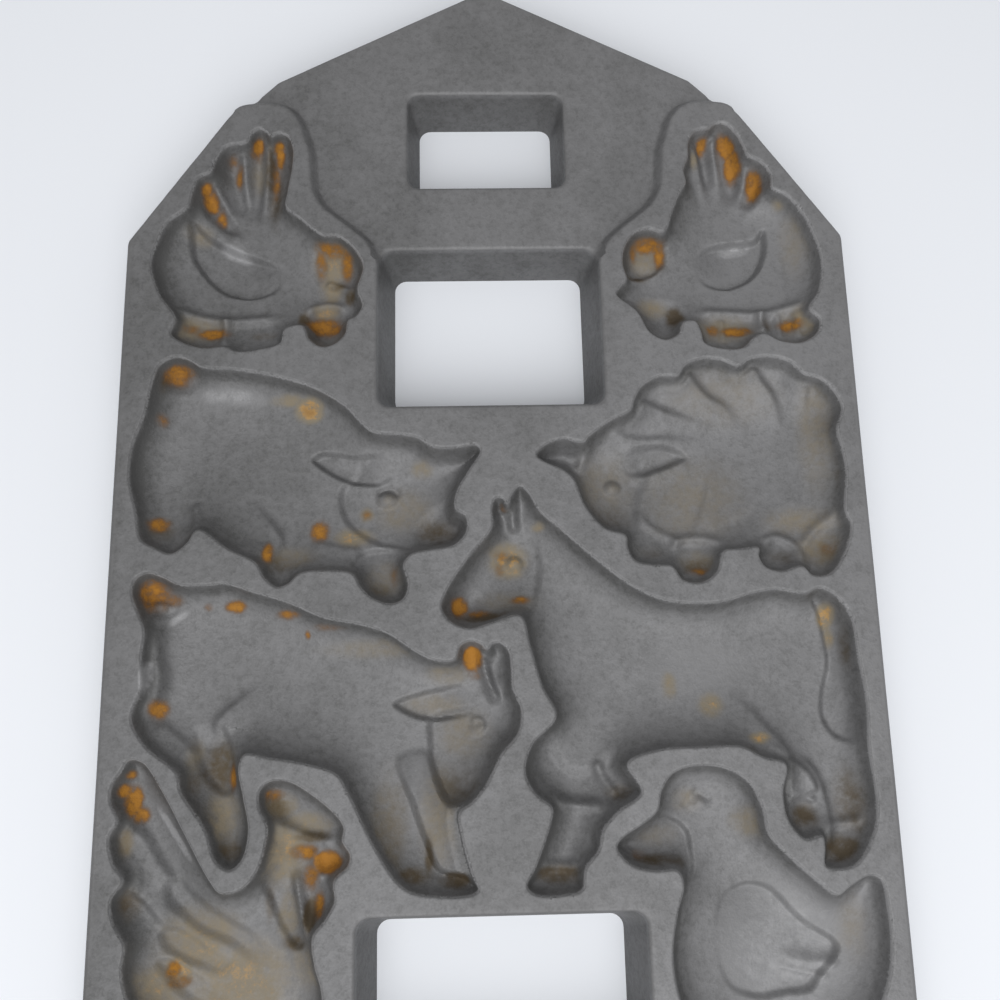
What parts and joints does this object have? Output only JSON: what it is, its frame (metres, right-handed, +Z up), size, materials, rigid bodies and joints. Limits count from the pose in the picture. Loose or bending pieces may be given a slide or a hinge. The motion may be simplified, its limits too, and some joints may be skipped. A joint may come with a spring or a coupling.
{
  "type": "cornbread mould",
  "caption": "Cast iron cornbread mould in the outline of a barn, with farm animal cups sunk into its face and a hayloft window, upper window and door cut right through.",
  "frame": {"origin": "middle of the bounding box at the level of the resting rim", "axes": "+X to the right across the barn, +Y from the barn's bottom edge to its roof ridge, +Z up out of the face with the cups"},
  "size_m": [0.21, 0.3239, 0.02],
  "materials": {
    "cast_iron": "bare sand-cast grey iron, slightly rough, with light rust spots"
  },
  "bodies": {
    "root": {"face_plate": "cast_iron", "gable_panel": "cast_iron", "left_hen_cup": "cast_iron", "right_hen_cup": "cast_iron", "pig_cup": "cast_iron", "sheep_cup": "cast_iron", "goat_cup": "cast_iron", "horse_cup": "cast_iron", "rooster_cup": "cast_iron", "duck_cup": "cast_iron", "hayloft_window_frame": "cast_iron", "upper_window_frame": "cast_iron", "door_frame": "cast_iron", "bottom_wall": "cast_iron", "right_side_wall": "cast_iron", "right_eave_wall": "cast_iron", "right_knee_wall": "cast_iron", "right_gable_wall": "cast_iron", "left_gable_wall": "cast_iron", "left_knee_wall": "cast_iron", "left_eave_wall": "cast_iron", "left_side_wall": "cast_iron"}
  },
  "joints": []
}
